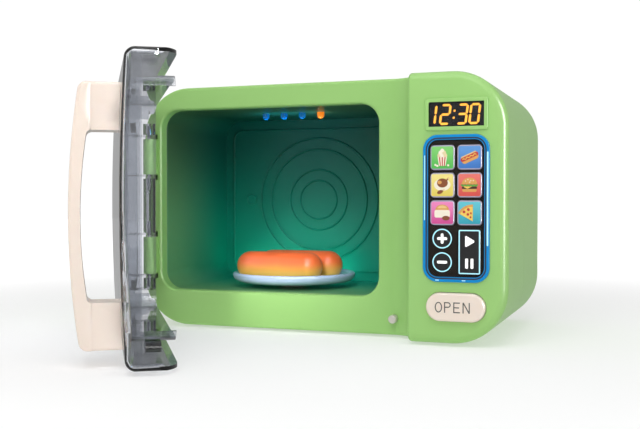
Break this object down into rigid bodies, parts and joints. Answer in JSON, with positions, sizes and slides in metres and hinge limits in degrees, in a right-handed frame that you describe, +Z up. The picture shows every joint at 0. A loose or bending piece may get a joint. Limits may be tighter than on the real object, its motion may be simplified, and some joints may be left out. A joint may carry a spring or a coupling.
{
  "type": "toy microwave oven",
  "caption": "Toy microwave oven with a clear hinged door, bow handle, lamp-lit cavity, turntable with play food, picture keypad, display and a push button that releases the door.",
  "frame": {"origin": "on the surface the toy stands on, under the middle of the housing", "axes": "+Z up, -Y out of the front, +X towards the control module"},
  "size_m": [0.2759, 0.2977, 0.1666],
  "materials": {
    "housing_plastic": "glossy moulded pale green",
    "liner_plastic": "glossy moulded green, a little deeper than the housing",
    "cream_plastic": "glossy moulded cream",
    "bezel_plastic": "glossy moulded blue",
    "display_pane": "clear dark plastic pane",
    "black_plastic": "matte black",
    "key_green": "glossy green",
    "key_blue": "glossy blue",
    "key_yellow": "glossy yellow",
    "key_red": "glossy red",
    "key_pink": "glossy pink",
    "key_teal": "glossy teal",
    "key_dark": "glossy near black",
    "membrane_rubber": "soft grey rubber",
    "board_laminate": "green laminate",
    "inner_plastic": "plain white moulding",
    "pin_plastic": "pale grey moulding",
    "smoky_clear": "clear smoky plastic",
    "plate_plastic": "glossy pale blue-grey",
    "sausage_plastic": "glossy orange",
    "led_blue": "clear blue lamp",
    "led_orange": "clear orange lamp",
    "screw_steel": "plated steel",
    "spring_steel": "spring steel",
    "motor_steel": "plated steel can",
    "battery_can": "plain jacketed cell"
  },
  "bodies": {
    "housing": {"front_housing": "housing_plastic", "rear_housing": "housing_plastic", "base_plate": "housing_plastic", "cavity_liner": "liner_plastic", "liner_screws": "screw_steel", "case_screws": "screw_steel", "base_screws": "screw_steel", "display_bezel": "housing_plastic", "display_window": "display_pane", "digit_display": "black_plastic", "keypad_bezel": "bezel_plastic", "keypad_plate": "black_plastic", "key_membrane": "membrane_rubber", "circuit_board": "board_laminate", "board_chips": "black_plastic", "button_spring": "spring_steel", "pin_spring": "spring_steel", "led_board": "board_laminate", "cavity_leds_blue": "led_blue", "cavity_led_orange": "led_orange", "turntable_motor": "motor_steel", "speaker": "black_plastic", "battery_box": "inner_plastic", "batteries": "battery_can", "battery_door": "housing_plastic", "battery_door_screw": "screw_steel", "power_switch_body": "black_plastic"},
    "door": {"door_window": "smoky_clear", "door_frame": "smoky_clear", "door_handle": "cream_plastic", "handle_screws": "screw_steel", "hinge_pins": "screw_steel"},
    "turntable": {"turntable_plate": "plate_plastic", "drive_hub": "inner_plastic", "drive_gear": "inner_plastic", "sausage_front": "sausage_plastic", "sausage_back": "sausage_plastic"},
    "pinion": {"motor_pinion": "inner_plastic"},
    "open_button": {"open_button": "cream_plastic"},
    "open_rocker": {"open_rocker": "inner_plastic"},
    "push_pin": {"push_pin": "pin_plastic"},
    "power_switch": {"power_switch_knob": "black_plastic"},
    "key_popcorn": {"key_popcorn": "key_green"},
    "key_hot_dog": {"key_hot_dog": "key_blue"},
    "key_roast_chicken": {"key_roast_chicken": "key_yellow"},
    "key_burger": {"key_burger": "key_red"},
    "key_bun": {"key_bun": "key_pink"},
    "key_pizza": {"key_pizza": "key_teal"},
    "key_plus": {"key_plus": "key_dark"},
    "key_minus": {"key_minus": "key_dark"},
    "key_play_pause": {"key_play_pause": "key_dark"}
  },
  "joints": [
    {"name": "door_hinge", "type": "hinge", "parent": "housing", "child": "door", "pos_m": [-0.1233, -0.052, 0.084], "axis": [0, 0, 1], "range_deg": [-44, 56.3]},
    {"name": "turntable_spin", "type": "hinge", "parent": "housing", "child": "turntable", "pos_m": [-0.03675, 0.006, 0.029], "axis": [0, 0, 1], "continuous": true},
    {"name": "pinion_spin", "type": "hinge", "parent": "housing", "child": "pinion", "pos_m": [-0.01075, 0.006, 0.016], "axis": [0, 0, 1], "continuous": true},
    {"name": "open_button_push", "type": "slide", "parent": "housing", "child": "open_button", "axis": [0, 1, 0], "range_m": [0, 0.0035], "stiffness_N_per_m": 500, "springref_m": -0.002, "deforming": ["button_spring"]},
    {"name": "open_rocker_turn", "type": "hinge", "parent": "housing", "child": "open_rocker", "pos_m": [0.06975, -0.026, 0.018], "axis": [0, 0, 1], "range_deg": [0, 12.8]},
    {"name": "push_pin_slide", "type": "slide", "parent": "housing", "child": "push_pin", "axis": [0, -1, 0], "range_m": [0, 0.0036], "deforming": ["pin_spring"]},
    {"name": "power_switch_slide", "type": "slide", "parent": "housing", "child": "power_switch", "axis": [1, 0, 0], "range_m": [0, 0.004]},
    {"name": "key_popcorn_press", "type": "slide", "parent": "housing", "child": "key_popcorn", "axis": [0, 1, 0], "range_m": [0, 0.0012], "stiffness_N_per_m": 400, "springref_m": -0.0008},
    {"name": "key_hot_dog_press", "type": "slide", "parent": "housing", "child": "key_hot_dog", "axis": [0, 1, 0], "range_m": [0, 0.0012], "stiffness_N_per_m": 400, "springref_m": -0.0008},
    {"name": "key_roast_chicken_press", "type": "slide", "parent": "housing", "child": "key_roast_chicken", "axis": [0, 1, 0], "range_m": [0, 0.0012], "stiffness_N_per_m": 400, "springref_m": -0.0008},
    {"name": "key_burger_press", "type": "slide", "parent": "housing", "child": "key_burger", "axis": [0, 1, 0], "range_m": [0, 0.0012], "stiffness_N_per_m": 400, "springref_m": -0.0008},
    {"name": "key_bun_press", "type": "slide", "parent": "housing", "child": "key_bun", "axis": [0, 1, 0], "range_m": [0, 0.0012], "stiffness_N_per_m": 400, "springref_m": -0.0008},
    {"name": "key_pizza_press", "type": "slide", "parent": "housing", "child": "key_pizza", "axis": [0, 1, 0], "range_m": [0, 0.0012], "stiffness_N_per_m": 400, "springref_m": -0.0008},
    {"name": "key_plus_press", "type": "slide", "parent": "housing", "child": "key_plus", "axis": [0, 1, 0], "range_m": [0, 0.0012], "stiffness_N_per_m": 400, "springref_m": -0.0008},
    {"name": "key_minus_press", "type": "slide", "parent": "housing", "child": "key_minus", "axis": [0, 1, 0], "range_m": [0, 0.0012], "stiffness_N_per_m": 400, "springref_m": -0.0008},
    {"name": "key_play_pause_press", "type": "slide", "parent": "housing", "child": "key_play_pause", "axis": [0, 1, 0], "range_m": [0, 0.0012], "stiffness_N_per_m": 400, "springref_m": -0.0008}
  ],
  "couplings": [
    {"joint": "pinion_spin", "follows": "turntable_spin", "ratio": -3.3333},
    {"joint": "open_rocker_turn", "follows": "open_button_push", "rad_per_m": 61.538},
    {"joint": "push_pin_slide", "follows": "open_button_push", "ratio": 1}
  ]
}
